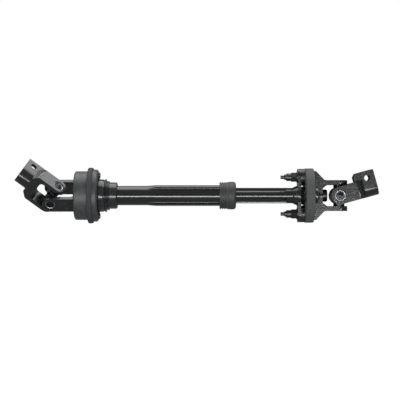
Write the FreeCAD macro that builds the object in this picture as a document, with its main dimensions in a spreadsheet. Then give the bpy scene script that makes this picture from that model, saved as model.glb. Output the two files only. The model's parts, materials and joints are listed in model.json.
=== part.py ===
import FreeCAD, Part
import math
import os
import re
import Sketcher
from FreeCAD import Vector

# Intermediate steering shaft: two universal joints, a telescoping fluted shaft between them, a rubber
# coupling beside the lower joint and a bulkhead seal around the upper end of the tube.
# The shaft lies along X. The origin is the middle of the seal's spigot. +Z is up.

doc = FreeCAD.newDocument("steering_shaft")

SIZES = {
    # how each universal joint is turned and bent at rest, in degrees, and where the upper one stands
    "upper_joint_x": -43.5,
    "upper_turn": 40,
    "upper_cross_swing": -34,
    "upper_clamp_swing": -16,
    "lower_clamp_swing": -15.5,
    # cross and its needle bearings
    "half_span": 22,
    "cup_sink": 1.25,
    "cup_rad": 8,
    "cup_long": 11,
    "cup_wall": 1.25,
    "cup_floor": 1.6,
    "cup_edge": 0.8,
    "needle_rad": 1,
    "needle_long": 8,
    "needle_play": 0.01,
    "needle_gap": 0.03,
    "trunnion_play": 0.05,
    "trunnion_edge": 0.5,
    "hub_rad": 7.2,
    "seal_long": 1.6,
    "seal_step": 0.3,
    "seal_play": 0.15,
    # clamp yokes
    "clamp_arm": 6,
    "clamp_ear_wall": 4.4,
    "clamp_bore": 8.6,
    "clamp_wall": 4.8,
    "crotch_gap": 1,
    "crotch_web": 6,
    "neck_long": 7.5,
    "barrel_back": 3.5,
    "lug_setback": 3.3,
    "lug_edge": 4.2,
    "lug_tail": 10.9,
    "lug_cover": 5.7,
    "bolt_rad": 4.5,
    "bolt_back": 7.9,
    "bolt_gap": 0.7,
    "slot_lead": 2,
    "arm_round": 6,
    "neck_round": 3,
    "clamp_crotch_round": 5,
    "lug_round": 1.5,
    # yoke welded to the outer tube
    "shaft_arm": 5.5,
    "shaft_ear_wall": 3.5,
    "shaft_crotch": 35,
    "shaft_crotch_round": 7,
    "shoulder_lead": 2,
    "yoke_neck": 4,
    "plug_land": 3,
    "shaft_plug": 12,
    "plug_edge": 1,
    "weld_half": 2.2,
    "weld_high": 1.1,
    "weld_gap": 0.5,
    # outer tube
    "yoke_reach": 47.5,
    "tube_long": 202,
    "tube_plain": 89.3,
    "tube_rad": 13.85,
    "tube_wall": 2,
    "lobe_rise": 0.95,
    "flute_runout": 12.9,
    "flute_rad": 2.6,
    "flute_deep": 3.3,
    "flute_wall": 2.2,
    # inner shaft and its sliding liner
    "shaft_lap": 96,
    "shaft_out": 94.7,
    "shaft_edge": 1,
    "liner_play": 0.05,
    "liner_wall": 0.7,
    "liner_inset": 2,
    "liner_long": 53,
    "groove_lead": 9,
    "flute_stop": 8.7,
    "spigot_step": 2.1,
    # dust collar
    "collar_grip": 9,
    "collar_flat": 12,
    "collar_slope": 1.5,
    "collar_cap": 14.3,
    "collar_wall": 4.35,
    "flare_rise": 0.65,
    "collar_round": 4,
    "collar_ring": 1,
    "wiper_inset": 1,
    "wiper_long": 5,
    "wiper_play": 0.05,
    "wiper_gap": 0.4,
    # bulkhead seal
    "spigot_half": 9.65,
    "spigot_wall": 3,
    "mouth_gap": 2.2,
    "lip_thick": 7.15,
    "lip_shoulder": 5.05,
    "lip_step": 1.4,
    "lip_round": 1.5,
    "retainer_thick": 7.2,
    "retainer_step": 2.5,
    "retainer_round": 3.2,
    "screw_inset": 4.4,
    "screw_room": 0.8,
    "screw_head": 4.2,
    "screw_high": 2.6,
    "screw_crown": 1.2,
    "screw_rad": 2,
    "screw_long": 10,
    "bellows_long": 16.4,
    "bellows_skin": 1.6,
    "bellows_rise": 4.35,
    "bellows_foot": 2,
    "peak_rise": 0.9,
    "last_drop": 2,
    "bellows_dip": 1.2,
    "bellows_fold": 2.2,
    "neck_gap": 1.35,
    "seal_hub_long": 10.7,
    "seal_hub_wall": 2.99,
    "seal_hub_round": 2.4,
    "bush_wall": 2,
    "bush_play": 0.06,
    "bush_inset": 0.8,
    # coupling
    "cone_long": 7.5,
    "cone_land": 2,
    "plate_thick": 4.8,
    "plate_rim": 3,
    "spigot_short": 3,
    "spacer_long": 5.5,
    "disc_thick": 12.2,
    "disc_margin": 0.65,
    "disc_bore": 12.5,
    "disc_edge": 1,
    "stud_ring": 26.25,
    "stud_rad": 4,
    "stud_tip": 8.3,
    "stud_dog": 4.8,
    "stud_dog_rad": 2.6,
    "stud_head": 5.5,
    "stud_head_high": 3,
    "stud_edge": 1,
    "nut_high": 7.4,
    "nut_flats": 13,
    "nut_collar": 5.5,
    "nut_collar_high": 7.1,
    "washer_rad": 8,
    "washer_thick": 1.2,
    "ear_rad": 12,
    "ear_flat": 0.5,
    "sleeve_wall": 1.5,
    "rivet_rad": 4,
    "rivet_head": 7,
    "rivet_high": 2.6,
    "rivet_edge": 1,
    "rivet_crown": 1.8,
    "pilot_shank": 6,
    "pilot_rad": 8.75,
    "pilot_nose": 6.9,
    "pilot_edge": 1.05,
    "pilot_inset": 1,
    "pilot_bush_wall": 1.5,
    "pilot_play": 0.06,
    # fork on the far side of the coupling
    "fork_arm": 7,
    "fork_ear_wall": 4,
    "fork_plate": 4,
    "rim_inset": 3.9,
    "rim_edge": 1,
    "rim_round": 4.5,
    "web_gap": 2,
    "web_slope": 6,
    "fork_lead": 2.5,
    "boss_long": 12.8,
    "boss_wall": 1.99,
    "boss_sink": 2,
    "fork_round": 6,
    "wing_inset": 1,
    "wing_short": 2,
    "wing_round": 10,
    "pocket_room": 2,
    "pocket_play": 0.8,
    # how far a cut runs past the face it opens
    "overcut": 5,
}

# Places and radii that several pieces share, each one a sum of the sizes above
PLACES = {
    "hub_reach": "half_span - cup_sink - cup_long - seal_play - seal_long",
    "seal_rad": "cup_rad - seal_step",
    "clamp_ear": "cup_rad + clamp_ear_wall",
    "clamp_rad": "clamp_bore + clamp_wall",
    "clamp_crotch": "half_span + crotch_gap",
    "clamp_shoulder": "clamp_crotch + crotch_web",
    "barrel_start": "clamp_shoulder + neck_long - barrel_back",
    "clamp_face": "clamp_shoulder + neck_long",
    "bolt_along": "clamp_face + bolt_back",
    "bolt_up": "clamp_bore + bolt_rad + bolt_gap",
    "clamp_end": "bolt_along + lug_tail",
    "lug_front": "clamp_crotch + lug_setback",
    "lug_top": "bolt_up + bolt_rad + lug_cover",
    "shaft_ear": "cup_rad + shaft_ear_wall",
    "tube_start": "upper_joint_x + yoke_reach",
    "tube_end": "tube_start + tube_long",
    "tube_bore": "tube_rad - tube_wall",
    "flute_start": "tube_start + tube_plain",
    "flute_full": "flute_start + flute_runout",
    "lobe_rad": "tube_rad + lobe_rise",
    "flute_centre": "lobe_rad + flute_rad - flute_deep",
    "inner_rad": "tube_bore - liner_play - liner_wall",
    "inner_start": "tube_end - shaft_lap",
    "inner_spigot": "inner_rad - spigot_step",
    "liner_start": "inner_start + liner_inset",
    "liner_end": "liner_start + liner_long",
    "cone_start": "tube_end + shaft_out",
    "inner_flute_end": "cone_start - flute_stop",
    "collar_start": "tube_end - collar_grip",
    "collar_step": "collar_start + collar_flat",
    "collar_end": "tube_end + collar_cap",
    "collar_rad": "lobe_rad + collar_wall",
    "collar_flare": "collar_rad + flare_rise",
    "seal_hub_out": "tube_rad + bush_play + bush_wall + seal_hub_wall",
    "bellows_rad": "seal_hub_out + bellows_rise",
    "bellows_peak": "bellows_rad + peak_rise",
    "bellows_last": "bellows_rad - last_drop",
    "retainer_bore": "bellows_rad + neck_gap",
    "lip_bore": "retainer_bore + lip_step",
    "screw_ring": "retainer_bore + screw_inset",
    "spigot_rad": "screw_ring + screw_rad + screw_room + spigot_wall",
    "spigot_mouth": "sqrt(half_span ^ 2 + shaft_ear ^ 2) + mouth_gap",
    "lip_rad": "spigot_rad + lip_shoulder",
    "lip_end": "spigot_half + lip_thick",
    "retainer_rad": "spigot_rad + retainer_step",
    "retainer_end": "lip_end + retainer_thick",
    "hub_start": "retainer_end + bellows_long",
    "hub_end": "hub_start + seal_hub_long",
    "plate_start": "cone_start + cone_long",
    "plate_end": "plate_start + plate_thick",
    "plate_hub": "disc_bore + plate_rim",
    "inner_end": "plate_end - spigot_short",
    "disc_start": "plate_end + spacer_long",
    "disc_end": "disc_start + disc_thick",
    "disc_rad": "stud_ring + ear_rad + disc_margin",
    "nut_end": "plate_start - washer_thick",
    "nut_start": "nut_end - nut_high",
    "nut_collar_start": "nut_start - nut_collar_high",
    "stud_start": "nut_collar_start - stud_tip",
    "stud_pocket": "stud_head + pocket_room",
    "fork_ear": "cup_rad + fork_ear_wall",
    "fork_web": "half_span + web_gap",
    "fork_root": "fork_web - web_slope",
    "fork_shoulder": "fork_web - fork_lead",
    "fork_back": "fork_web + boss_long",
    "fork_rim": "disc_rad - rim_inset",
    "bush_hole": "pilot_rad + pilot_play + pilot_bush_wall",
    "fork_boss": "bush_hole + boss_wall",
    "lower_joint_x": "disc_end + fork_back",
    "pilot_end": "lower_joint_x - fork_web + pilot_nose",
}

FLUTES = 4
FIRST_FLUTE = 45

sheet = doc.addObject("Spreadsheet::Sheet", "Sizes")
for line, (name, size) in enumerate(SIZES.items(), start=1):
    sheet.set(f"A{line}", name)
    sheet.set(f"B{line}", str(size))
    sheet.setAlias(f"B{line}", name)
doc.recompute()


def spelled_out(found):
    """The sheet's cell for a size's name, or the sum of cells for a place."""
    name = found.group()
    return f"({bound(PLACES[name])})" if name in PLACES else "Sizes." + name


def bound(text):
    """The same sum, written in the sheet's cells."""
    return re.sub(r"\b[a-z][a-z_]+[a-z]\b(?!\()", spelled_out, str(text))


def value(text):
    return float(sheet.evalExpression(bound(text)))


# ---- sketches and features -------------------------------------------------------------------------

def new_body(label, pose=None):
    body = doc.addObject("PartDesign::Body", label)
    body.Label = label
    body.AllowCompound = True
    if pose:
        body.Placement = pose
    return body


def origin_part(body, role):
    return next(part for part in body.Origin.OriginFeatures if part.Role == role)


def new_sketch(body, plane, lift="0"):
    """A sketch on one of the body's own planes, lifted along that plane's normal."""
    sketch = body.newObject("Sketcher::SketchObject", body.Label + "_sketch")
    sketch.AttachmentSupport = [(origin_part(body, plane), "")]
    sketch.MapMode = "FlatFace"
    if lift != "0":
        sketch.setExpression("AttachmentOffset.Base.z", bound(lift))
    return sketch


def pin_point(sketch, where, across, up):
    """Fix a point of the sketch to two sums of sizes."""
    for kind, axis, text in (("DistanceX", -2, across), ("DistanceY", -1, up)):
        size = value(text)
        if abs(size) < 1e-9:
            sketch.addConstraint(Sketcher.Constraint("PointOnObject", *where, axis))
            continue
        number = sketch.addConstraint(Sketcher.Constraint(kind, -1, 1, *where, size))
        sketch.setExpression(f"Constraints[{number}]", bound(text))


def circle(sketch, radius, across="0", up="0"):
    centre = Vector(value(across), value(up), 0)
    ring = sketch.addGeometry(Part.Circle(centre, Vector(0, 0, 1), value(radius)))
    number = sketch.addConstraint(Sketcher.Constraint("Radius", ring, value(radius)))
    sketch.setExpression(f"Constraints[{number}]", bound(radius))
    pin_point(sketch, (ring, 3), across, up)


def outline(sketch, corners):
    """A closed outline of straight lines: each corner is (across, up), or (across, up, round)."""
    points = [Vector(value(corner[0]), value(corner[1]), 0) for corner in corners]
    lines = [
        sketch.addGeometry(Part.LineSegment(point, points[(index + 1) % len(points)]))
        for index, point in enumerate(points)
    ]
    for index, corner in enumerate(corners):
        sketch.addConstraint(Sketcher.Constraint("Coincident", lines[index - 1], 2, lines[index], 1))
        pin_point(sketch, (lines[index], 1), corner[0], corner[1])
    return [(point, corner[2]) for point, corner in zip(points, corners) if len(corner) > 2]


def crosses(edge, point, normal):
    """Whether the edge passes through the point, square to a sketch's plane."""
    if edge.distToShape(Part.Vertex(point))[0] > 1e-4:
        return False
    return abs(edge.tangentAt(edge.Curve.parameter(point)).dot(normal)) > 0.99


def round_off(body, sketch, rounds):
    """Fillet the edges that an outline's rounded corners left on the body."""
    for size in sorted({size for _, size in rounds}):
        doc.recompute()
        base = body.Tip
        normal = sketch.Placement.Rotation.multVec(Vector(0, 0, 1))
        spots = [sketch.Placement.multVec(point) for point, own in rounds if own == size]
        edges = [
            f"Edge{number}" for number, edge in enumerate(base.Shape.Edges, start=1)
            if any(crosses(edge, spot, normal) for spot in spots)
        ]
        fillet = body.newObject("PartDesign::Fillet", body.Label + "_fillet")
        fillet.Base = (base, edges)
        fillet.setExpression("Radius", bound(size))


def feature(body, kind, sketch):
    step = body.newObject("PartDesign::" + kind, body.Label + "_" + kind.lower())
    step.Profile = sketch
    sketch.Visibility = False
    return step


def extrude(body, sketch, length, kind="Pad", both=False, back=False, rounds=()):
    step = feature(body, kind, sketch)
    step.SideType = "Symmetric" if both else "One side"
    step.Reversed = back
    step.setExpression("Length", bound(length))
    round_off(body, sketch, rounds)


def through(body, sketch):
    """Cut right through the body on both sides of the sketch."""
    step = feature(body, "Pocket", sketch)
    step.SideType = "Symmetric"
    step.Type = "ThroughAll"


def revolve(body, sketch, axis="H_Axis", rounds=()):
    step = feature(body, "Revolution", sketch)
    step.ReferenceAxis = (sketch, [axis])
    step.Angle = 360
    round_off(body, sketch, rounds)


def repeat(body, count):
    """The whole of the body so far, repeated evenly around its X axis."""
    doc.recompute()
    ring = body.newObject("PartDesign::PolarPattern", body.Label + "_pattern")
    ring.TransformMode = "Whole shape"
    ring.Axis = (origin_part(body, "X_Axis"), [""])
    ring.Angle = 360
    ring.Occurrences = count
    body.Tip = ring


def turned(label, corners, pose=None):
    """A piece turned about the shaft's axis: its corners are (along, radius) or with a round."""
    body = new_body(label, pose)
    sketch = new_sketch(body, "XZ_Plane")
    revolve(body, sketch, rounds=outline(sketch, corners))
    return body


def ring_corners(start, end, inner, outer):
    return [(start, inner), (start, outer), (end, outer), (end, inner)]


# ---- where the joints stand -------------------------------------------------------------------------

X_AXIS = Vector(1, 0, 0)
Y_AXIS = Vector(0, 1, 0)
Z_AXIS = Vector(0, 0, 1)
Turn = FreeCAD.Rotation


def at(centre, turn):
    return FreeCAD.Placement(Vector(value(centre), 0, 0), turn)


# A yoke's own axes: X away from the joint centre, Y along its pin.
# A cross's own axes: X towards the clamp yoke, Y and Z along its two pins.
upper_yoke_turn = Turn(X_AXIS, 180 + value("upper_turn"))
upper_pin = upper_yoke_turn.multVec(Y_AXIS)
upper_cross_turn = Turn(upper_pin, value("upper_cross_swing")) * upper_yoke_turn * Turn(Y_AXIS, 180)
upper_clamp_pin = upper_cross_turn.multVec(Z_AXIS)
upper_clamp_turn = Turn(upper_clamp_pin, value("upper_clamp_swing")) * upper_cross_turn * Turn(X_AXIS, 90)

fork_turn = Turn(X_AXIS, 90) * Turn(Y_AXIS, 180)
lower_cross_turn = Turn(X_AXIS, 90)
lower_clamp_turn = Turn(Y_AXIS, value("lower_clamp_swing"))


# ---- universal joint kit ----------------------------------------------------------------------------

CUP_FACE = "half_span - cup_sink"
CUP_MOUTH = f"{CUP_FACE} - cup_long"
CUP_INSIDE = "cup_rad - cup_wall"
NEEDLE_RING = f"{CUP_INSIDE} - needle_rad - needle_play"
TRUNNION = f"{CUP_INSIDE} - 2 * needle_rad - 2 * needle_play"
TRUNNION_END = f"{CUP_FACE} - cup_floor - trunnion_play"
NEEDLE_START = f"{CUP_FACE} - cup_floor - needle_long - needle_rad"
NEEDLES = int(math.pi / math.asin(value("needle_rad + needle_gap") / value(NEEDLE_RING)))


def bearing_cups(label, pose):
    """Two drawn cups, open towards the joint's centre, on the yoke's pin axis."""
    body = new_body(label, pose)
    sketch = new_sketch(body, "XY_Plane")
    floor = f"{CUP_FACE} - cup_floor"
    rounds = outline(sketch, [
        ("0", floor), (CUP_INSIDE, floor), (CUP_INSIDE, CUP_MOUTH),
        ("cup_rad", CUP_MOUTH), ("cup_rad", CUP_FACE, "cup_edge"), ("0", CUP_FACE),
    ])
    revolve(body, sketch, "V_Axis", rounds)
    repeat(body, 2)


def bearing_needles(label, pose):
    """A full ring of needles in each of the two cups."""
    body = new_body(label, pose)
    for back in (False, True):
        sign = "" if back else "-"
        sketch = new_sketch(body, "XZ_Plane", f"{sign}({NEEDLE_START})")
        for number in range(NEEDLES):
            angle = f"{number} * 360 / {NEEDLES}"
            circle(sketch, "needle_rad", f"({NEEDLE_RING}) * cos({angle})", f"({NEEDLE_RING}) * sin({angle})")
        extrude(body, sketch, "needle_long", back=not back)


def cross(label, pose):
    """The forged cross: four ground trunnions on a stout hub."""
    body = new_body(label, pose)
    sketch = new_sketch(body, "XY_Plane")
    outline(sketch, [
        ("0", "0"), ("hub_rad", "0"), ("hub_rad", "hub_reach"), (TRUNNION, "hub_reach"),
        (TRUNNION, f"{TRUNNION_END} - trunnion_edge"), (f"{TRUNNION} - trunnion_edge", TRUNNION_END),
        ("0", TRUNNION_END),
    ])
    revolve(body, sketch, "V_Axis")
    repeat(body, 4)


def cross_seals(label, pose):
    """A rubber ring on the foot of each trunnion, just short of its cup."""
    body = new_body(label, pose)
    sketch = new_sketch(body, "XY_Plane")
    top = f"{CUP_MOUTH} - seal_play"
    outline(sketch, [(TRUNNION, "hub_reach"), ("seal_rad", "hub_reach"), ("seal_rad", top), (TRUNNION, top)])
    revolve(body, sketch, "V_Axis")
    repeat(body, 4)


# ---- yokes ------------------------------------------------------------------------------------------

def mirrored(corners):
    """The same corners on the other side of the X axis, in the opposite order."""
    return [(corner[0], f"-({corner[1]})") + tuple(corner[2:]) for corner in reversed(corners)]


def ear_trim(body, ear):
    """Cut away what lies outside the half round at the arms' free ends."""
    sketch = new_sketch(body, "XZ_Plane")
    reach = value(ear)
    far = f"-({ear}) - overcut"
    side = f"{ear} + overcut"
    corners = [
        ("0", ear), ("0", side), (far, side), (far, f"-({side})"), ("0", f"-({side})"), ("0", f"-({ear})"),
    ]
    points = [Vector(value(a), value(b), 0) for a, b in corners]
    lines = [sketch.addGeometry(Part.LineSegment(points[i], points[i + 1])) for i in range(5)]
    arc = sketch.addGeometry(Part.Arc(points[0], Vector(-reach, 0, 0), points[5]))
    for before, after in zip(lines, lines[1:]):
        sketch.addConstraint(Sketcher.Constraint("Coincident", before, 2, after, 1))
    first = 1 if (sketch.Geometry[arc].StartPoint - points[0]).Length < 1e-6 else 2
    sketch.addConstraint(Sketcher.Constraint("Coincident", lines[0], 1, arc, first))
    sketch.addConstraint(Sketcher.Constraint("Coincident", lines[4], 2, arc, 3 - first))
    sketch.addConstraint(Sketcher.Constraint("Coincident", arc, 3, -1, 1))
    for index in range(1, 5):
        pin_point(sketch, (lines[index], 1), *corners[index])
    pin_point(sketch, (lines[0], 1), *corners[0])
    sketch.addConstraint(Sketcher.Constraint("PointOnObject", lines[4], 2, -2))
    through(body, sketch)


def cross_bore(body, radius, across="0", up="0"):
    """A hole through the piece along its pin direction."""
    sketch = new_sketch(body, "XZ_Plane")
    circle(sketch, radius, across, up)
    through(body, sketch)


def clamp_yoke(label, pose):
    """A formed yoke whose channel closes on a column or gear shaft with a pinch bolt."""
    body = new_body(label, pose)
    fork = new_sketch(body, "XY_Plane")
    arm = "half_span - clamp_arm"
    half = [("-(clamp_ear)", "half_span"), ("clamp_shoulder", "half_span", "arm_round"),
            ("clamp_face", "clamp_rad", "neck_round")]
    inner = [("clamp_crotch", arm, "clamp_crotch_round"), ("-(clamp_ear)", arm)]
    rounds = outline(fork, half + mirrored(half) + mirrored(inner) + inner)
    extrude(body, fork, "2 * (clamp_ear)", both=True, rounds=rounds)
    ear_trim(body, "clamp_ear")
    lug = new_sketch(body, "XZ_Plane")
    rounds = outline(lug, [
        ("clamp_shoulder", "0"), ("clamp_shoulder", "clamp_ear"), ("lug_front", "clamp_ear"),
        ("lug_front", "lug_top - lug_edge"), ("lug_front + lug_edge", "lug_top"),
        ("clamp_end", "lug_top", "lug_round"), ("clamp_end", "0"),
    ])
    extrude(body, lug, "2 * (clamp_rad)", both=True, rounds=rounds)
    barrel = new_sketch(body, "YZ_Plane", "barrel_start")
    circle(barrel, "clamp_rad")
    extrude(body, barrel, "clamp_end - barrel_start")
    bore = new_sketch(body, "YZ_Plane")
    circle(bore, "clamp_bore")
    extrude(body, bore, "clamp_end + overcut", kind="Pocket", back=True)
    slot = new_sketch(body, "XZ_Plane")
    outline(slot, [
        ("lug_front - slot_lead", "clamp_ear"), ("clamp_face", "clamp_ear"), ("clamp_face", "0"),
        ("clamp_end + overcut", "0"), ("clamp_end + overcut", "lug_top + overcut"),
        ("lug_front - slot_lead", "lug_top + overcut"),
    ])
    extrude(body, slot, "2 * clamp_bore", kind="Pocket", both=True)
    cross_bore(body, "cup_rad")
    cross_bore(body, "bolt_rad", "bolt_along", "bolt_up")


def shaft_yoke(label, pose):
    """The forged yoke whose round plug is pressed and welded into the outer tube."""
    body = new_body(label, pose)
    seam = "yoke_reach"
    fork = new_sketch(body, "XY_Plane")
    arm = "half_span - shaft_arm"
    half = [("-(shaft_ear)", "half_span"), ("shaft_crotch + shoulder_lead", "half_span", "arm_round"),
            (f"{seam} - weld_half - weld_gap", "tube_rad")]
    inner = [("shaft_crotch", arm, "shaft_crotch_round"), ("-(shaft_ear)", arm)]
    rounds = outline(fork, half + mirrored(half) + mirrored(inner) + inner)
    extrude(body, fork, "2 * (shaft_ear)", both=True, rounds=rounds)
    ear_trim(body, "shaft_ear")
    plug = new_sketch(body, "XZ_Plane")
    outline(plug, [
        ("shaft_crotch + yoke_neck", "0"), ("shaft_crotch + yoke_neck", "shaft_ear"),
        (f"{seam} - plug_land", "tube_rad"),
        (seam, "tube_rad"), (seam, "tube_bore"), (f"{seam} + shaft_plug - plug_edge", "tube_bore"),
        (f"{seam} + shaft_plug", "tube_bore - plug_edge"), (f"{seam} + shaft_plug", "0"),
    ])
    revolve(body, plug)
    cross_bore(body, "cup_rad")


def fork_yoke(label, pose):
    """The forged fork: two arms on a boss, with wings and ears that meet the rubber disc."""
    body = new_body(label, pose)
    fork = new_sketch(body, "XY_Plane")
    arm = "half_span - fork_arm"
    half = [("-(fork_ear)", "half_span"), ("fork_shoulder", "half_span", "fork_round"),
            ("fork_back - fork_plate + rim_edge", "fork_rim", "rim_round"), ("fork_back", "fork_rim")]
    inner = [("fork_web", "fork_boss - boss_sink"), ("fork_root", arm, "fork_round"), ("-(fork_ear)", arm)]
    rounds = outline(fork, half + mirrored(half) + mirrored(inner) + inner)
    extrude(body, fork, "2 * (fork_ear)", both=True, rounds=rounds)
    ear_trim(body, "fork_ear")
    boss = new_sketch(body, "YZ_Plane", "fork_web")
    circle(boss, "fork_boss")
    extrude(body, boss, "boss_long")
    ears = new_sketch(body, "YZ_Plane", "fork_back - fork_plate")
    half_wide = "ear_rad - wing_inset"
    half_tall = "stud_ring + ear_rad - wing_short"
    rounds = outline(ears, [
        (f"-({half_wide})", half_tall, "wing_round"), (half_wide, half_tall, "wing_round"),
        (half_wide, f"-({half_tall})", "wing_round"), (f"-({half_wide})", f"-({half_tall})", "wing_round"),
    ])
    extrude(body, ears, "fork_plate", rounds=rounds)
    hole = new_sketch(body, "YZ_Plane")
    circle(hole, "bush_hole")
    extrude(body, hole, "fork_back + overcut", kind="Pocket", back=True)
    rivets = new_sketch(body, "YZ_Plane")
    for sign in ("", "-"):
        circle(rivets, "rivet_rad", "0", f"{sign}stud_ring")
    extrude(body, rivets, "fork_back + overcut", kind="Pocket", back=True)
    pockets = new_sketch(body, "YZ_Plane", "fork_back - stud_head_high - pocket_play")
    for sign in ("", "-"):
        circle(pockets, "stud_pocket", f"{sign}stud_ring", "0")
    extrude(body, pockets, "fork_plate + overcut", kind="Pocket", back=True)
    cross_bore(body, "cup_rad")


clamp_yoke("upper_clamp_yoke", at("upper_joint_x", upper_clamp_turn))
bearing_cups("upper_clamp_yoke_cups", at("upper_joint_x", upper_clamp_turn))
bearing_needles("upper_clamp_yoke_needles", at("upper_joint_x", upper_clamp_turn))
cross("upper_cross", at("upper_joint_x", upper_cross_turn))
cross_seals("upper_cross_seals", at("upper_joint_x", upper_cross_turn))
shaft_yoke("upper_shaft_yoke", at("upper_joint_x", upper_yoke_turn))
bearing_cups("upper_shaft_yoke_cups", at("upper_joint_x", upper_yoke_turn))
bearing_needles("upper_shaft_yoke_needles", at("upper_joint_x", upper_yoke_turn))

fork_yoke("lower_fork_yoke", at("lower_joint_x", fork_turn))
bearing_cups("lower_fork_yoke_cups", at("lower_joint_x", fork_turn))
bearing_needles("lower_fork_yoke_needles", at("lower_joint_x", fork_turn))
cross("lower_cross", at("lower_joint_x", lower_cross_turn))
cross_seals("lower_cross_seals", at("lower_joint_x", lower_cross_turn))
clamp_yoke("lower_clamp_yoke", at("lower_joint_x", lower_clamp_turn))
bearing_cups("lower_clamp_yoke_cups", at("lower_joint_x", lower_clamp_turn))
bearing_needles("lower_clamp_yoke_needles", at("lower_joint_x", lower_clamp_turn))


# ---- telescoping shaft ------------------------------------------------------------------------------

def side_axis(sketch, along, until, across):
    """A construction line beside the shaft's axis, for a feature to turn about."""
    axis = sketch.addGeometry(Part.LineSegment(Vector(0, 0, 0), Vector(1, 0, 0)), True)
    sketch.addConstraint(Sketcher.Constraint("Horizontal", axis))
    pin_point(sketch, (axis, 1), along, across)
    number = sketch.addConstraint(Sketcher.Constraint("DistanceX", -1, 1, axis, 2, value(until)))
    sketch.setExpression(f"Constraints[{number}]", bound(until))


def flute_rods(label, radius, start, nose, end):
    """Rods beside the axis with pointed noses, one for each flute."""
    body = new_body(label, FreeCAD.Placement(Vector(), Turn(X_AXIS, FIRST_FLUTE)))
    sketch = new_sketch(body, "XZ_Plane")
    outline(sketch, [
        (start, "flute_centre"), (f"{start} + {nose}", f"flute_centre + {radius}"),
        (end, f"flute_centre + {radius}"), (end, "flute_centre"),
    ])
    side_axis(sketch, start, end, "flute_centre")
    revolve(body, sketch, "Axis0")
    repeat(body, FLUTES)
    return body


def cut(label, base, *tools):
    """The base with each tool's shape taken out of it."""
    for number, tool in enumerate(tools, start=1):
        name = label if number == len(tools) else f"{label}_step_{number}"
        step = doc.addObject("Part::Cut", name)
        step.Label = name
        step.Base = base
        step.Tool = tool
        base = step
    return base


def outer_tube():
    """The steel tube, rolled in with four flutes along its lower half."""
    blank = turned("outer_tube_blank", [
        ("tube_start", "0"), ("tube_start", "tube_rad"), ("flute_start", "tube_rad"),
        ("flute_full", "lobe_rad"), ("tube_end", "lobe_rad"), ("tube_end", "0"),
    ])
    nose = "flute_full - flute_start"
    past_end = "tube_end + overcut"
    flutes = flute_rods("outer_tube_flutes", "flute_rad", "flute_start", nose, past_end)
    ridges = flute_rods("outer_tube_ridges", "(flute_rad + flute_wall)", "flute_start", nose, past_end)
    core = turned("outer_tube_core", [
        ("tube_start - overcut", "0"), ("tube_start - overcut", "tube_bore"),
        ("tube_end + overcut / 2", "tube_bore"), ("tube_end + overcut / 2", "0"),
    ])
    cut("outer_tube", blank, flutes, cut("outer_tube_bore", core, ridges))


def inner_shaft():
    """The solid fluted shaft, with a plain spigot for the coupling's hub, and its nylon liner."""
    blank = turned("inner_shaft_blank", [
        ("inner_start", "0"), ("inner_start", "inner_rad - shaft_edge"),
        ("inner_start + shaft_edge", "inner_rad"),
        ("cone_start", "inner_rad"), ("cone_start", "inner_spigot"), ("inner_end", "inner_spigot"),
        ("inner_end", "0"),
    ])
    grooves = flute_rods("inner_shaft_grooves", "(flute_rad + flute_wall + liner_wall + liner_play)",
                         "inner_start - groove_lead", "shaft_edge", "inner_flute_end")
    shaft = cut("inner_shaft", blank, grooves)
    sleeve = turned("slide_liner_blank", ring_corners(
        "liner_start", "liner_end", "inner_rad / 2", "tube_bore - liner_play"))
    clear = flute_rods("slide_liner_clearance", "(flute_rad + flute_wall + liner_play)",
                       "inner_start - groove_lead", "shaft_edge", "liner_end + overcut")
    cut("slide_liner", sleeve, clear, shaft)


def dust_collar():
    """The rubber collar on the tube's end, ringed at one end and flared at the other."""
    rings = []
    for number in range(3):
        start = f"collar_start + {3 * number + 2} * collar_ring"
        end = f"{start} + collar_ring"
        bottom = "collar_rad - collar_ring"
        rings += [(start, "collar_rad"), (start, bottom), (end, bottom), (end, "collar_rad")]
    lip = "inner_rad + wiper_gap"
    wiper_start = "tube_end + wiper_inset"
    wiper_end = "tube_end + wiper_inset + wiper_long"
    turned("dust_collar", [("collar_start", "lobe_rad"), ("collar_start", "collar_rad")] + rings + [
        ("collar_step", "collar_rad"), ("collar_step + collar_slope", "collar_flare"),
        ("collar_end", "collar_flare", "collar_round"), ("collar_end", lip), (wiper_end, lip),
        (wiper_end, "lobe_rad"),
    ])
    turned("collar_wiper", ring_corners(wiper_start, wiper_end, "inner_rad + wiper_play", "lobe_rad"))


def tube_weld():
    """The weld bead around the seam between yoke and tube."""
    turned("tube_weld", [
        ("tube_start - weld_half", "tube_rad"), ("tube_start - weld_half / 2", "tube_rad + weld_high"),
        ("tube_start + weld_half / 2", "tube_rad + weld_high"), ("tube_start + weld_half", "tube_rad"),
    ])


outer_tube()
tube_weld()
inner_shaft()
dust_collar()


# ---- bulkhead seal ----------------------------------------------------------------------------------

def holes_along(body, radius, lift, length, spots):
    """Holes along the shaft's direction, from a plane at lift."""
    sketch = new_sketch(body, "YZ_Plane", lift)
    for across, up in spots:
        circle(sketch, radius, across, up)
    extrude(body, sketch, length, kind="Pocket", back=True)


SCREWS = [("0", "screw_ring"), ("0", "-screw_ring")]


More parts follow.
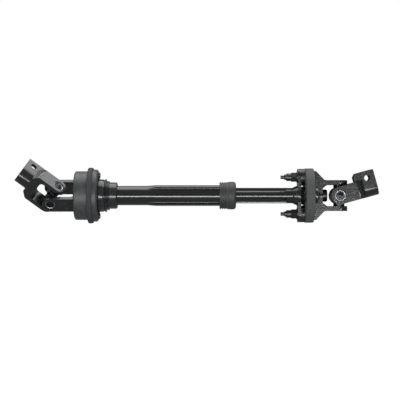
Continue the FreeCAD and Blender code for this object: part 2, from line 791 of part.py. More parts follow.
def seal_rings():
    """The spigot housing, its rubber lip, the retaining ring, and the two screws that hold them."""
    inside = "spigot_rad - spigot_wall"
    turned("seal_housing", [
        ("-spigot_half", "spigot_mouth"), ("-spigot_half", "spigot_rad", "spigot_wall"),
        ("spigot_half", "spigot_rad"), ("spigot_half", inside), ("spigot_wall - spigot_half", inside),
        ("spigot_wall - spigot_half", "spigot_mouth"),
    ])
    lip = turned("seal_flange_lip", [
        ("spigot_half", "lip_bore"), ("spigot_half", "lip_rad", "lip_round"),
        ("lip_end", "lip_rad", "lip_round"), ("lip_end", "lip_bore"),
    ])
    holes_along(lip, "screw_rad", "spigot_half - overcut", "lip_thick + 2 * overcut", SCREWS)
    retainer = turned("seal_retainer_ring", [
        ("lip_end", "retainer_bore"), ("lip_end", "retainer_rad"),
        ("retainer_end", "retainer_rad", "retainer_round"), ("retainer_end", "retainer_bore"),
    ])
    holes_along(retainer, "screw_rad", "lip_end - overcut", "retainer_thick + 2 * overcut", SCREWS)


def beside_axis(label, ring, corners, plane="XZ_Plane"):
    """Two like pieces, each turned about its own axis at the ring's radius; corners as for turned."""
    body = new_body(label)
    sketch = new_sketch(body, plane)
    rounds = outline(sketch, [(corner[0], f"{ring} + {corner[1]}") + tuple(corner[2:]) for corner in corners])
    side_axis(sketch, "0", "disc_end", ring)
    revolve(body, sketch, "Axis0", rounds)
    repeat(body, 2)


def seal_screws():
    beside_axis("seal_screws", "screw_ring", [
        ("retainer_end - screw_long", "0"), ("retainer_end - screw_long", "screw_rad"),
        ("retainer_end", "screw_rad"), ("retainer_end", "screw_head"),
        ("retainer_end + screw_high", "screw_head", "screw_crown"), ("retainer_end + screw_high", "0"),
    ])


def seal_bellows():
    """The rubber neck, clamped behind the retaining ring and bonded to the hub."""
    flat = "bellows_rad - bellows_skin"
    dip = "bellows_rad - bellows_dip"
    last_dip = "bellows_last - bellows_dip"
    foot = "lip_end + bellows_foot"
    shoulder = "retainer_end + bellows_fold / 2"
    crown = "retainer_end + 3 * bellows_fold"
    valley = "retainer_end + 4 * bellows_fold"
    peak = "retainer_end + 5 * bellows_fold"
    last_valley = "hub_start - 1.5 * bellows_fold"
    last_crown = "hub_start - bellows_fold / 2"
    turned("seal_bellows", [
        ("lip_end", "retainer_bore"), (foot, "retainer_bore"), (foot, dip),
        (shoulder, "bellows_rad", "bellows_skin"), (crown, "bellows_rad", "bellows_skin"),
        (valley, dip, "bellows_skin / 2"), (peak, "bellows_peak", "bellows_skin / 3"),
        (last_valley, last_dip, "bellows_skin / 3"), (last_crown, "bellows_last", "bellows_skin / 4"),
        ("hub_start", "seal_hub_out"), ("hub_start", "seal_hub_out - bellows_skin"),
        (last_valley, f"{last_dip} - bellows_skin"), (peak, "bellows_peak - 1.25 * bellows_skin"),
        (valley, f"{dip} - bellows_skin"), (crown, flat), (shoulder, flat),
        (foot, f"{dip} - bellows_skin"), ("lip_end", f"{dip} - bellows_skin"),
    ])


def seal_hub():
    """The rubber hub and the nylon bush in it that runs on the tube."""
    outside = "tube_rad + bush_play + bush_wall"
    turned("seal_hub", [
        ("hub_start", outside), ("hub_start", "seal_hub_out"),
        ("hub_end", "seal_hub_out", "seal_hub_round"), ("hub_end", outside),
    ])
    turned("seal_bush", ring_corners(
        "hub_start + bush_inset", "hub_end - bush_inset", "tube_rad + bush_play", outside))


seal_rings()
seal_screws()
seal_bellows()
seal_hub()


# ---- coupling ---------------------------------------------------------------------------------------

STUD_SIDE = [("0", "stud_ring"), ("0", "-stud_ring")]
RIVET_SIDE = [("stud_ring", "0"), ("-stud_ring", "0")]
SLEEVE = "stud_rad + sleeve_wall"


def shaft_flange():
    """The forged hub welded on the inner shaft, with one ear above and one below."""
    body = turned("shaft_flange", [
        ("cone_start", "inner_spigot"), ("cone_start", "inner_rad"), ("plate_start + cone_land", "plate_hub"),
        ("plate_end", "plate_hub"), ("plate_end", "disc_bore"), ("disc_start", "disc_bore"),
        ("disc_start", "pilot_shank"), ("inner_end", "pilot_shank"), ("inner_end", "inner_spigot"),
    ])
    ears = new_sketch(body, "YZ_Plane", "plate_start")
    top = "stud_ring + ear_rad"
    ear_round = "ear_rad - ear_flat"
    rounds = outline(ears, [
        ("-ear_rad", top, ear_round), ("-ear_rad", f"-({top})", ear_round),
        ("ear_rad", f"-({top})", ear_round), ("ear_rad", top, ear_round),
    ])
    extrude(body, ears, "plate_thick", rounds=rounds)
    on_axis = [("0", "0")]
    holes_along(body, "inner_spigot", "cone_start - overcut", "inner_end - cone_start + overcut", on_axis)
    holes_along(body, "pilot_shank", "inner_end", "disc_start - inner_end + overcut", on_axis)
    holes_along(body, "stud_rad", "plate_start - overcut", "plate_thick + 2 * overcut", STUD_SIDE)


def coupling_disc():
    """The rubber and cord disc, with a steel sleeve in each of its four holes."""
    disc = turned("coupling_disc", [
        ("disc_start", "disc_bore"), ("disc_start", "disc_rad", "disc_edge"),
        ("disc_end", "disc_rad", "disc_edge"), ("disc_end", "disc_bore"),
    ])
    holes_along(disc, SLEEVE, "disc_start - overcut", "disc_thick + 2 * overcut", STUD_SIDE + RIVET_SIDE)
    for label, plane in (("shaft_side_sleeves", "XZ_Plane"), ("fork_side_sleeves", "XY_Plane")):
        beside_axis(label, "stud_ring", ring_corners("disc_start", "disc_end", "stud_rad", SLEEVE), plane)


def coupling_studs():
    """Long dog-point studs through the disc and the shaft's ears, with what is threaded on them."""
    dog = "stud_start + stud_dog"
    beside_axis("coupling_studs", "stud_ring", [
        ("stud_start", "0"), ("stud_start", "stud_dog_rad"), (dog, "stud_dog_rad"),
        (f"{dog} + stud_edge", "stud_rad"), ("disc_end", "stud_rad"), ("disc_end", "stud_head"),
        ("disc_end + stud_head_high", "stud_head", "stud_edge"), ("disc_end + stud_head_high", "0"),
    ])
    for label, start, end, outer in (
        ("coupling_spacers", "plate_end", "disc_start", "ear_rad"),
        ("coupling_washers", "nut_end", "plate_start", "washer_rad"),
    ):
        beside_axis(label, "stud_ring", ring_corners(start, end, "stud_rad", outer))
    nuts = new_body("coupling_nuts")
    sketch = new_sketch(nuts, "YZ_Plane", "nut_start")
    corner = "nut_flats / (2 * cos(30))"
    outline(sketch, [
        (f"{corner} * cos({60 * side})", f"stud_ring + {corner} * sin({60 * side})") for side in range(6)
    ])
    circle(sketch, "stud_rad", "0", "stud_ring")
    extrude(nuts, sketch, "nut_high")
    collar = new_sketch(nuts, "YZ_Plane", "nut_collar_start")
    circle(collar, "nut_collar", "0", "stud_ring")
    circle(collar, "stud_rad", "0", "stud_ring")
    extrude(nuts, collar, "nut_collar_high")
    repeat(nuts, 2)


def coupling_rivets():
    """Shouldered rivets that join the disc to the fork's ears, front and back."""
    far = "disc_end + fork_plate"
    crown = "rivet_head - rivet_crown"
    beside_axis("coupling_rivets", "stud_ring", [
        ("disc_start - rivet_high", "0"), ("disc_start - rivet_high", crown),
        ("disc_start - rivet_edge", "rivet_head"), ("disc_start", "rivet_head"), ("disc_start", "rivet_rad"),
        (far, "rivet_rad"), (far, "rivet_head"),
        (f"{far} + rivet_edge", "rivet_head"), (f"{far} + rivet_high", crown), (f"{far} + rivet_high", "0"),
    ], "XY_Plane")


def pilot():
    """The centring stub on the shaft's end, and the bush in the fork that it runs in."""
    turned("pilot_stub", [
        ("inner_end + pilot_inset", "0"), ("inner_end + pilot_inset", "pilot_shank"),
        ("disc_start", "pilot_shank"), ("disc_start", "pilot_rad"), ("pilot_end - pilot_edge", "pilot_rad"),
        ("pilot_end", "pilot_rad - pilot_edge"), ("pilot_end", "0"),
    ])
    turned("pilot_bush", ring_corners(
        "disc_end", "lower_joint_x - fork_web", "pilot_rad + pilot_play", "bush_hole"))


shaft_flange()
coupling_disc()
coupling_studs()
coupling_rivets()
pilot()


# ---- check and write --------------------------------------------------------------------------------

NODES = """
upper_clamp_yoke upper_clamp_yoke_cups upper_clamp_yoke_needles upper_cross upper_cross_seals
upper_shaft_yoke upper_shaft_yoke_cups upper_shaft_yoke_needles
seal_housing seal_flange_lip seal_retainer_ring seal_screws seal_bellows seal_hub seal_bush
outer_tube tube_weld dust_collar collar_wiper slide_liner inner_shaft
shaft_flange coupling_studs coupling_nuts coupling_washers coupling_spacers
coupling_disc shaft_side_sleeves fork_side_sleeves coupling_rivets pilot_stub pilot_bush
lower_fork_yoke lower_fork_yoke_cups lower_fork_yoke_needles lower_cross lower_cross_seals
lower_clamp_yoke lower_clamp_yoke_cups lower_clamp_yoke_needles
""".split()

doc.recompute()
failed = [item.Label for item in doc.Objects if {"Invalid", "Error"} & set(item.State)]
if failed:
    raise RuntimeError("failed to recompute: " + ", ".join(failed))

os.makedirs("parts", exist_ok=True)
for name in NODES:
    shape = doc.getObjectsByLabel(name)[0].Shape
    if shape.isNull() or not shape.isValid() or not shape.Solids:
        raise RuntimeError(f"{name} has no valid solid")
for name in NODES:
    doc.getObjectsByLabel(name)[0].Shape.exportStep(f"parts/{name}.step")
print(len(NODES), "parts written")
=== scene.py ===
import json
import math

import bmesh
import bpy
from mathutils import Matrix, Vector


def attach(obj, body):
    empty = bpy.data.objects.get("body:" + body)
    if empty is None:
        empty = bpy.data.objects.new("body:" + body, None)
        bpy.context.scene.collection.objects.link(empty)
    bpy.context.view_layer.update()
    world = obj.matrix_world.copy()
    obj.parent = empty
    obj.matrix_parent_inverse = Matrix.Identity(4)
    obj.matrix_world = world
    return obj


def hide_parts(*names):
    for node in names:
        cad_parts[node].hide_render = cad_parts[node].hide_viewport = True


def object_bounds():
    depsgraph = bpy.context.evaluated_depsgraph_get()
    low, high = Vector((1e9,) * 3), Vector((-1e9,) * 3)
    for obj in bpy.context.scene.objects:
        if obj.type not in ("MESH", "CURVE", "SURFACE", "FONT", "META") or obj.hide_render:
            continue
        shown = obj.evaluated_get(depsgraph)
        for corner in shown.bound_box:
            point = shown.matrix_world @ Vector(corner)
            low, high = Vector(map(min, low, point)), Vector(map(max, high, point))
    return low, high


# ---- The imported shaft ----
# An intermediate steering shaft: two universal joints, a telescoping fluted shaft, a rubber coupling
# beside the lower joint and a bulkhead seal round the upper end of the tube.
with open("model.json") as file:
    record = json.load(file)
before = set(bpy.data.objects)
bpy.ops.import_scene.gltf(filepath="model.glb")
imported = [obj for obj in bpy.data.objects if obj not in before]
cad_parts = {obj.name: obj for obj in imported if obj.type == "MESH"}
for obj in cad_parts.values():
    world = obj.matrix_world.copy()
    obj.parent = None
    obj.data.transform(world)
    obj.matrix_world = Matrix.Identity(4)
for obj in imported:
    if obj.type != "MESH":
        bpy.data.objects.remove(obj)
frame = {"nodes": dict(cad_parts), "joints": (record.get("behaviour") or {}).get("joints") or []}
cad_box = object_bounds()
MM = 0.001


# ---- Upper clamp yoke ----
# A steel forging that clamps on the column's shaft with a pinch bolt through its two lugs. It is
# shot blasted, then dipped in black cathodic e-coat, which pulls thin over its sharp edges.
def linear(code):
    """The linear colour of an sRGB hex value."""
    parts = [int(code[i:i + 2], 16) / 255 for i in (0, 2, 4)]
    return [c / 12.92 if c <= 0.04045 else ((c + 0.055) / 1.055) ** 2.4 for c in parts] + [1.0]


def add_node(tree, kind, inputs=None, **settings):
    """One node with its settings, its values and the sockets linked to it."""
    made = tree.nodes.new(kind)
    for name, setting in settings.items():
        setattr(made, name, setting)
    for name, given in (inputs or {}).items():
        if isinstance(given, bpy.types.NodeSocket):
            tree.links.new(given, made.inputs[name])
        else:
            made.inputs[name].default_value = given
    return made


def new_material(name, **values):
    """A material with an empty surface, its Object coordinates in metres, and its shader."""
    material = bpy.data.materials.new(name)
    material.use_nodes = True
    tree = material.node_tree
    shader = tree.nodes["Principled BSDF"]
    for socket, given in values.items():
        shader.inputs[socket.replace("_", " ")].default_value = given
    place = add_node(tree, "ShaderNodeTexCoord").outputs["Object"]
    return material, tree, shader, place


def grain(tree, place, size, detail=3.0, stretch=(1, 1, 1)):
    """Noise whose lumps are about that many metres across, drawn out by stretch."""
    shrink = [1 / s for s in stretch]
    scaled = add_node(tree, "ShaderNodeMapping", {"Vector": place, "Scale": shrink}).outputs["Vector"]
    lumps = {"Vector": scaled, "Scale": 1 / size, "Detail": detail}
    return add_node(tree, "ShaderNodeTexNoise", lumps).outputs["Fac"]


def blend_colours(tree, share, stops):
    """A colour ramp from (position, hex) stops."""
    ramp = add_node(tree, "ShaderNodeValToRGB", {"Fac": share})
    steps = ramp.color_ramp.elements
    while len(steps) < len(stops):
        steps.new(0.5)
    for step, (position, code) in zip(steps, stops):
        step.position = position
        step.color = linear(code)
    return ramp.outputs["Color"]


def tint(tree, shader, share, stops):
    """The shader's colour follows share through the stops."""
    tree.links.new(blend_colours(tree, share, stops), shader.inputs["Base Color"])


def spread(tree, share, low, high, start=0.3, end=0.7):
    """A number that runs from low to high as share runs from start to end."""
    return add_node(tree, "ShaderNodeMapRange", {"Value": share, "From Min": start, "From Max": end,
                                                 "To Min": low, "To Max": high}).outputs["Result"]


def roughen(tree, shader, share, low, high):
    """The shader's roughness runs from low to high as share rises."""
    tree.links.new(spread(tree, share, low, high), shader.inputs["Roughness"])


def raise_surface(tree, shader, height, depth, under=None):
    """A bump of that depth in metres, on top of another bump if one is given."""
    inputs = {"Height": height, "Distance": depth, "Strength": 1.0}
    if under:
        inputs["Normal"] = under
    normal = add_node(tree, "ShaderNodeBump", inputs).outputs["Normal"]
    tree.links.new(normal, shader.inputs["Normal"])
    return normal


def forging_coat():
    """Black e-coat over a shot-blasted forging: a soft gloss broken by the blasted skin, with dull
    grey scuffs where it has been handled."""
    blast = 0.5 * MM
    forging_skin = 2.5 * MM
    scuff = 4 * MM
    material, tree, shader, place = new_material("black e-coat on forged steel", IOR=1.52)
    skin = grain(tree, place, forging_skin)
    scuffs = spread(tree, grain(tree, place, scuff, 8.0), 0, 1, 0.6, 0.74)
    coat = blend_colours(tree, skin, [(0.3, "101112"), (0.7, "18191b")])
    worn = add_node(tree, "ShaderNodeMix", {"Factor": scuffs, "A": coat, "B": linear("2c2e31")},
                    data_type="RGBA")
    tree.links.new(worn.outputs["Result"], shader.inputs["Base Color"])
    clean_gloss = 0.22
    dulled = add_node(tree, "ShaderNodeMath",
                      {0: spread(tree, skin, 0.24, 0.36), 1: scuffs, 2: clean_gloss},
                      operation="MULTIPLY_ADD")
    tree.links.new(dulled.outputs["Value"], shader.inputs["Roughness"])
    waves = raise_surface(tree, shader, skin, 0.09 * MM)
    raise_surface(tree, shader, grain(tree, place, blast), 0.02 * MM, under=waves)
    return material


def paint(piece, material):
    """The piece or CAD node takes this material in all its slots."""
    slots = piece.data.materials
    for index in range(len(slots)):
        slots[index] = material
    if not slots:
        slots.append(material)


def finished(name, mesh, body, material, stands_for):
    """The bmesh becomes a piece that rides on its body and stands for a CAD node."""
    data = bpy.data.meshes.new(name)
    mesh.to_mesh(data)
    mesh.free()
    data.shade_smooth()
    piece = bpy.data.objects.new(name, data)
    bpy.context.scene.collection.objects.link(piece)
    paint(piece, material)
    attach(piece, body)
    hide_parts(stands_for)
    return piece


def ease_edges(piece, width, sharp):
    """Edges that turn by more than sharp degrees get a narrow rounded bevel."""
    bevel = piece.modifiers.new("eased edges", "BEVEL")
    bevel.limit_method = "ANGLE"
    bevel.angle_limit = math.radians(sharp)
    bevel.width = width
    bevel.segments = 2
    bevel.harden_normals = True


def eased(node, name, body, material, ease):
    """A merged copy of a forging whose sharp edges are eased, as tumbling and coating leave them.
    Its broad faces are shaded flat and its curved ones smooth."""
    weld_distance = 0.002 * MM
    flat_turn = math.radians(0.5)
    broad = 60 * MM ** 2
    mesh = bmesh.new()
    mesh.from_mesh(frame["nodes"][node].data)
    bmesh.ops.remove_doubles(mesh, verts=mesh.verts, dist=weld_distance)
    bmesh.ops.dissolve_limit(mesh, angle_limit=flat_turn, verts=mesh.verts, edges=mesh.edges)
    bmesh.ops.recalc_face_normals(mesh, faces=mesh.faces)
    piece = finished(name, mesh, body, material, node)
    for face in piece.data.polygons:
        face.use_smooth = face.area < broad
    ease_edges(piece, ease, sharp=28)


black_forging = forging_coat()
yoke_ease = 0.7 * MM
eased("upper_clamp_yoke", "upper_clamp_forging", "upper_clamp", black_forging, yoke_ease)


# ---- Universal joint crosses and their bearings ----
# Each forged cross has four ground trunnions, and each trunnion runs in a drawn cup of loose needles
# with a rubber seal. The cups are blackened, and they are pressed and staked into the yokes' eyes.
def blackened_steel():
    """Black oxide on drawn bearing steel: a dark metal with a thin oily sheen and faint draw marks."""
    draw_mark = 0.7 * MM
    material, tree, shader, place = new_material("black oxide on bearing steel", Metallic=1.0)
    marks = grain(tree, place, draw_mark, 4.0)
    cloud = grain(tree, place, 5 * MM)
    tint(tree, shader, cloud, [(0.3, "26272a"), (0.72, "3a3b3e")])
    roughen(tree, shader, marks, 0.24, 0.38)
    raise_surface(tree, shader, marks, 0.012 * MM)
    return material


def ground_steel():
    """Through-hardened and ground needle steel: bright, with fine grinding lines."""
    grit = 0.25 * MM
    material, tree, shader, place = new_material("ground bearing steel", Metallic=1.0)
    lines = grain(tree, place, grit, 2.0, (1, 1, 6))
    tint(tree, shader, lines, [(0.3, "9c9da0"), (0.7, "c6c7ca")])
    roughen(tree, shader, lines, 0.16, 0.3)
    raise_surface(tree, shader, lines, 0.004 * MM)
    return material


def rim_highlight_steel():
    """A mid grey metal laid on the cups' raised rims as a painted highlight ring, with fine mottling."""
    material, tree, shader, place = new_material("painted highlight on cup rims", Metallic=1.0)
    # Painted highlight: the rims get a mid grey metal, far lighter than the blackened cups, standing in for
    # the bright ring that light draws on them.
    highlight_mottle = grain(tree, place, 0.4 * MM, 5.0)
    tint(tree, shader, highlight_mottle, [(0.3, "6a6c70"), (0.7, "96989c")])
    roughen(tree, shader, highlight_mottle, 0.22, 0.36)
    raise_surface(tree, shader, highlight_mottle, 0.006 * MM)
    return material


def nitrile_rubber():
    """Moulded nitrile rubber: deep black with a low waxy sheen."""
    bloom = 3 * MM
    material, tree, shader, place = new_material("moulded nitrile rubber", IOR=1.52)
    cloud = grain(tree, place, bloom, 5.0)
    tint(tree, shader, cloud, [(0.3, "1b1c1d"), (0.75, "2a2b2c")])
    roughen(tree, shader, cloud, 0.5, 0.68)
    raise_surface(tree, shader, grain(tree, place, 0.4 * MM), 0.02 * MM)
    return material


def turned(mesh, outline, places):
    """An outline of (radius in mm, height in mm) points that starts and ends on the axis, spun round
    each place's Z axis."""
    segments = 64
    merge_distance = 0.001 * MM
    for place in places:
        corners = [mesh.verts.new((radius * MM, 0, height * MM)) for radius, height in outline]
        sides = [mesh.edges.new(pair) for pair in zip(corners, corners[1:])]
        before = set(mesh.verts) - set(corners)
        bmesh.ops.spin(mesh, geom=corners + sides, axis=(0, 0, 1), angle=math.tau, steps=segments,
                       use_merge=True)
        fresh = [corner for corner in mesh.verts if corner not in before]
        bmesh.ops.transform(mesh, matrix=place, verts=fresh)
    bmesh.ops.remove_doubles(mesh, verts=mesh.verts, dist=merge_distance)
    bmesh.ops.recalc_face_normals(mesh, faces=mesh.faces)


def drawn_cups(yoke, body, joint, material, highlight_rim_material):
    """The two cups on a yoke's pin. Each closed end is drawn in a little, inside a raised rim that takes a
    lighter metal as a painted highlight ring, and has a flat round pad in its middle. The outline is in mm
    from the joint's centre."""
    radius, bore, mouth, floor, face = 8, 6.75, 9.75, 19.15, 20.75
    inside = [(0, floor), (bore, floor), (bore, mouth)]
    outside = [(radius, mouth), (radius, 19.95), (7.77, 20.52), (7.2, face)]
    closed_end = [(6.6, face), (6.1, 20.5), (5.7, 20.0), (3.1, 19.9), (2.5, 20.3), (0, 20.3)]
    rim_foot, rim_inside = 19.99 * MM, 5.8 * MM
    pin = next(j for j in frame["joints"] if j["name"] == joint)
    facing = Vector(pin["axis"]).to_track_quat("Z", "Y").to_matrix().to_4x4()
    near = Matrix.Translation(pin["pos_m"]) @ facing
    far = near @ Matrix.Rotation(math.pi, 4, "X")
    mesh = bmesh.new()
    turned(mesh, inside + outside + closed_end, [near, far])
    # Faces on the raised rim take the second slot, the painted highlight ring.
    for side in mesh.faces:
        spot = near.inverted() @ side.calc_center_median()
        side.material_index = int(abs(spot.z) > rim_foot and spot.xy.length > rim_inside)
    piece = finished(f"{yoke}_drawn_cups", mesh, body, material, f"{yoke}_cups")
    ease_edges(piece, 0.12 * MM, sharp=40)
    piece.data.materials.append(highlight_rim_material)


cup_steel = blackened_steel()
# A lighter metal for the cup rims, a painted highlight.
painted_rim_highlight = rim_highlight_steel()
needle_steel = ground_steel()
seal_rubber = nitrile_rubber()
YOKES = [("upper_clamp_yoke", "upper_clamp", "upper_clamp_pivot"),
         ("upper_shaft_yoke", "outer_shaft", "upper_cross_pivot"),
         ("lower_fork_yoke", "fork", "lower_cross_pivot"),
         ("lower_clamp_yoke", "lower_clamp", "lower_clamp_pivot")]
for yoke, body, joint in YOKES:
    drawn_cups(yoke, body, joint, cup_steel, painted_rim_highlight)
    paint(frame["nodes"][f"{yoke}_needles"], needle_steel)
for end in ("upper", "lower"):
    paint(frame["nodes"][f"{end}_cross"], cup_steel)
    paint(frame["nodes"][f"{end}_cross_seals"], seal_rubber)


# ---- Shaft yoke, outer tube and weld ----
# The yoke is a forging plugged into a drawn tube and welded all round. The tube is smooth at the
# seal, and past it is squeezed into four flutes that carry the torque. All of it is e-coated.
def tube_coat():
    """Black e-coat over cold-drawn tube: a clean gloss with faint drawing lines along the shaft."""
    draw_line = 0.6 * MM
    material, tree, shader, place = new_material("black e-coat on drawn tube", IOR=1.52)
    lines = grain(tree, place, draw_line, 2.0, (60, 1, 1))
    cloud = grain(tree, place, 12 * MM, 4.0, (3, 1, 1))
    tint(tree, shader, cloud, [(0.3, "101112"), (0.7, "161719")])
    roughen(tree, shader, cloud, 0.11, 0.16)
    raise_surface(tree, shader, lines, 0.003 * MM)
    return material


def weld_coat():
    """Black e-coat over a single-pass weld: glossy, with uneven ripples."""
    material, tree, shader, place = new_material("black e-coat on a weld bead", IOR=1.52)
    lumps = grain(tree, place, 1.4 * MM, 3.0, (0.7, 1, 1))
    tint(tree, shader, lumps, [(0.3, "141516"), (0.7, "232426")])
    roughen(tree, shader, lumps, 0.25, 0.4)
    raise_surface(tree, shader, lumps, 0.35 * MM)
    return material


black_tube = tube_coat()
eased("upper_shaft_yoke", "upper_shaft_forging", "outer_shaft", black_forging, yoke_ease)
paint(frame["nodes"]["outer_tube"], black_tube)
paint(frame["nodes"]["tube_weld"], weld_coat())


# ---- Bulkhead seal ----
# A glass-filled nylon spigot fits the hole in the bulkhead, with a rubber lip against its face. A
# retaining ring screwed to it holds an elastomer bellows neck, whose hub runs on the tube.
def filled_nylon():
    """Moulded glass-filled nylon: dark grey and matt, with fine flow marks and a dusty bloom."""
    flow = 9 * MM
    spark = 0.35 * MM
    material, tree, shader, place = new_material("moulded glass-filled nylon", IOR=1.53)
    cloud = grain(tree, place, flow, 6.0, (0.6, 1, 1))
    speck = grain(tree, place, spark, 2.0)
    tint(tree, shader, cloud, [(0.28, "262829"), (0.72, "323436")])
    roughen(tree, shader, cloud, 0.42, 0.56)
    raise_surface(tree, shader, speck, 0.025 * MM)
    return material


def lip_rubber():
    """Closed-cell EPDM rubber: a dry black with a pitted skin."""
    cell = 0.9 * MM
    material, tree, shader, place = new_material("closed-cell EPDM rubber", IOR=1.5)
    cells = add_node(tree, "ShaderNodeTexVoronoi", {"Vector": place, "Scale": 1 / cell}).outputs["Distance"]
    cloud = grain(tree, place, 4 * MM, 6.0)
    tint(tree, shader, cloud, [(0.3, "1f2021"), (0.74, "303233")])
    roughen(tree, shader, cloud, 0.7, 0.88)
    raise_surface(tree, shader, cells, 0.12 * MM)
    return material


def bellows_elastomer():
    """Injection-moulded thermoplastic elastomer: smooth and glossy."""
    material, tree, shader, place = new_material("glossy thermoplastic elastomer", IOR=1.5)
    cloud = grain(tree, place, 5 * MM, 4.0)
    tint(tree, shader, cloud, [(0.3, "191a1b"), (0.7, "252728")])
    roughen(tree, shader, cloud, 0.14, 0.22)
    raise_surface(tree, shader, grain(tree, place, 0.8 * MM), 0.015 * MM)
    return material


def zinc_plate():
    """Dark zinc-nickel plate on fasteners: a satin grey metal with patchy passivation."""
    material, tree, shader, place = new_material("dark zinc-nickel plate", Metallic=1.0)
    cloud = grain(tree, place, 2.2 * MM, 6.0)
    tint(tree, shader, cloud, [(0.3, "2e2f31"), (0.7, "525355")])
    roughen(tree, shader, cloud, 0.3, 0.46)
    raise_surface(tree, shader, grain(tree, place, 0.3 * MM), 0.01 * MM)
    return material


nylon_shell = filled_nylon()
zinc = zinc_plate()
bellows_skin = bellows_elastomer()
for part in ("seal_housing", "seal_retainer_ring"):
    paint(frame["nodes"][part], nylon_shell)
paint(frame["nodes"]["seal_flange_lip"], lip_rubber())
paint(frame["nodes"]["seal_bellows"], bellows_skin)
paint(frame["nodes"]["seal_hub"], bellows_skin)
paint(frame["nodes"]["seal_screws"], zinc)


# ---- Bushes, liner and wiper ----
# White nylon bushes and a nylon sleeve run on the coated steel, and an oiled felt ring in the dust
# collar wipes the inner shaft.
def white_nylon():
    """Natural nylon: a warm translucent white, slightly waxy."""
    material, tree, shader, place = new_material("natural nylon", IOR=1.53, Subsurface_Weight=0.15)
    cloud = grain(tree, place, 6 * MM)
    tint(tree, shader, cloud, [(0.3, "d2cdbd"), (0.7, "e2ddcf")])
    roughen(tree, shader, cloud, 0.36, 0.48)
    raise_surface(tree, shader, grain(tree, place, 0.5 * MM), 0.01 * MM)
    return material


def oiled_felt():
    """Pressed wool felt soaked in oil: dark, fibrous and matt."""
    material, tree, shader, place = new_material("oiled wool felt", IOR=1.46)
    fibres = grain(tree, place, 0.35 * MM, 6.0, (1, 3, 1))
    tint(tree, shader, fibres, [(0.3, "3a362f"), (0.7, "5c564b")])
    roughen(tree, shader, fibres, 0.8, 0.95)
    raise_surface(tree, shader, fibres, 0.15 * MM)
    return material


nylon = white_nylon()
for part in ("seal_bush", "slide_liner", "pilot_bush"):
    paint(frame["nodes"][part], nylon)
paint(frame["nodes"]["collar_wiper"], oiled_felt())


# ---- Dust collar and inner shaft ----
# A rubber collar snaps over the end of the outer tube. The inner shaft slides in it, a drawn bar
# with the same four flutes, e-coated before its hub flange is pressed and welded on.
def collar_rubber():
    """Moulded chloroprene: matt, and paler where it has bloomed."""
    material, tree, shader, place = new_material("moulded chloroprene rubber", IOR=1.52)
    cloud = grain(tree, place, 3 * MM, 7.0)
    tint(tree, shader, cloud, [(0.3, "1d1e1f"), (0.74, "2c2d2e")])
    roughen(tree, shader, cloud, 0.5, 0.7)
    raise_surface(tree, shader, grain(tree, place, 0.6 * MM, 5.0), 0.06 * MM)
    return material


paint(frame["nodes"]["dust_collar"], collar_rubber())
paint(frame["nodes"]["inner_shaft"], black_tube)
hub_ease = 0.5 * MM
eased("shaft_flange", "shaft_hub_forging", "inner_shaft", black_forging, hub_ease)


# ---- Coupling disc and its fasteners ----
# Layers of rubberised cotton are cured into a disc with four steel sleeves. Two long studs bolt it to
# the shaft's flange and two rivets to the fork, so that it takes up vibration and small misalignment.
def layered_rubber():
    """Rubberised fabric, cut at its rim: dull black-grey layers of cord with lint and dust in them."""
    ply = 1.5 * MM
    material, tree, shader, place = new_material("rubberised cotton fabric", IOR=1.5)
    across = add_node(tree, "ShaderNodeSeparateXYZ", {"Vector": place}).outputs["X"]
    wander = grain(tree, place, 5 * MM, 4.0)
    phase = add_node(tree, "ShaderNodeMath", {0: across, 1: math.tau / ply, 2: wander},
                     operation="MULTIPLY_ADD")
    plies = add_node(tree, "ShaderNodeMath", {0: phase.outputs[0]}, operation="SINE").outputs[0]
    lint = grain(tree, place, 0.8 * MM, 8.0)
    tint(tree, shader, lint, [(0.32, "2c2d2e"), (0.7, "4a4b4b")])
    roughen(tree, shader, lint, 0.62, 0.85)
    ridges = raise_surface(tree, shader, plies, 0.05 * MM)
    raise_surface(tree, shader, lint, 0.12 * MM, under=ridges)
    return material


paint(frame["nodes"]["coupling_disc"], layered_rubber())
for part in ("coupling_studs", "coupling_nuts", "coupling_washers", "coupling_spacers", "coupling_rivets"):
    paint(frame["nodes"][part], zinc)
for part in ("shaft_side_sleeves", "fork_side_sleeves"):
    paint(frame["nodes"][part], needle_steel)
paint(frame["nodes"]["pilot_stub"], cup_steel)


# ---- Fork yoke and lower clamp yoke ----
# The fork's plate is riveted to the coupling disc. The clamp yoke at the far end takes the steering
# gear's input shaft. Both are e-coated forgings like the upper pair.
eased("lower_fork_yoke", "lower_fork_forging", "fork", black_forging, yoke_ease)
eased("lower_clamp_yoke", "lower_clamp_forging", "lower_clamp", black_forging, yoke_ease)


# ---- Floor ----
# A pale floor below the shaft, wide enough that its edge is lost in the pale room.
def opal_acrylic():
    """Matt opal acrylic with a trace of tooth. The camera sees it glow plain white, and the shaft
    reflects only its dim upper face."""
    material, tree, shader, place = new_material("opal acrylic", Roughness=0.9,
                                                 Emission_Color=linear("ffffff"))
    tooth = grain(tree, place, 3 * MM)
    tint(tree, shader, tooth, [(0.3, "8c8c8b"), (0.7, "949493")])
    seen = add_node(tree, "ShaderNodeLightPath").outputs["Is Camera Ray"]
    tree.links.new(spread(tree, seen, 0, 1, 0, 1), shader.inputs["Emission Strength"])
    return material


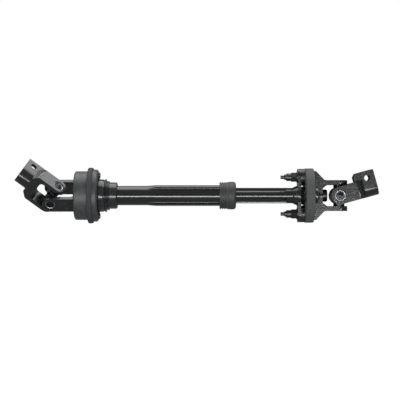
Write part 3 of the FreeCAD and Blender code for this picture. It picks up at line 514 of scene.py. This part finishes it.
floor_drop = 0.30
floor_reach = 14
floor_mesh = bmesh.new()
bmesh.ops.create_circle(floor_mesh, cap_ends=True, segments=64, radius=floor_reach,
                        matrix=Matrix.Translation((0, 0, -floor_drop)))
floor_data = bpy.data.meshes.new("floor")
floor_mesh.to_mesh(floor_data)
floor_mesh.free()
floor = bpy.data.objects.new("floor", floor_data)
bpy.context.scene.collection.objects.link(floor)
paint(floor, opal_acrylic())


# ---- Light ----
# A broad softbox overhead, a long narrow strip in front and a little below the shaft, and an even
# pale room that the camera sees as white.
def softbox(name, place, aim, wide, tall, power):
    """A rectangular light that faces a point and isn't itself seen."""
    lamp = bpy.data.lights.new(name, "AREA")
    lamp.shape = "RECTANGLE"
    lamp.size = wide
    lamp.size_y = tall
    lamp.energy = power
    made = bpy.data.objects.new(name, lamp)
    bpy.context.scene.collection.objects.link(made)
    made.location = place
    made.rotation_euler = (Vector(aim) - Vector(place)).to_track_quat("-Z", "Y").to_euler()
    made.visible_camera = False


middle = (cad_box[0] + cad_box[1]) / 2
softbox("overhead", place=(middle.x, 0.25, 1.5), aim=middle, wide=2.6, tall=1.5, power=40)
softbox("strip", place=(middle.x, -1.2, -0.24), aim=(middle.x, 0, 0), wide=2.2, tall=0.2, power=24)

world = bpy.data.worlds.new("pale room")
world.use_nodes = True
bpy.context.scene.world = world
air = world.node_tree
air.nodes.clear()
room_light = 0.3
seen = add_node(air, "ShaderNodeLightPath").outputs["Is Camera Ray"]
glow = spread(air, seen, room_light, 1.0, 0, 1)
sky = add_node(air, "ShaderNodeBackground", {"Color": linear("ffffff"), "Strength": glow})
add_node(air, "ShaderNodeOutputWorld", {"Surface": sky.outputs["Background"]})
bpy.context.scene.view_settings.view_transform = "Standard"


# ---- Camera ----
# Level with the shaft and square to it, far enough off that its two ends look alike.
camera_distance = 1.70
camera_angle = 19.1
camera = bpy.data.objects.new("camera", bpy.data.cameras.new("camera"))
bpy.context.scene.collection.objects.link(camera)
camera.data.angle = math.radians(camera_angle)
camera.location = (0.169, -camera_distance, -0.0063)
camera.rotation_euler = (math.radians(90), 0, 0)
bpy.context.scene.camera = camera
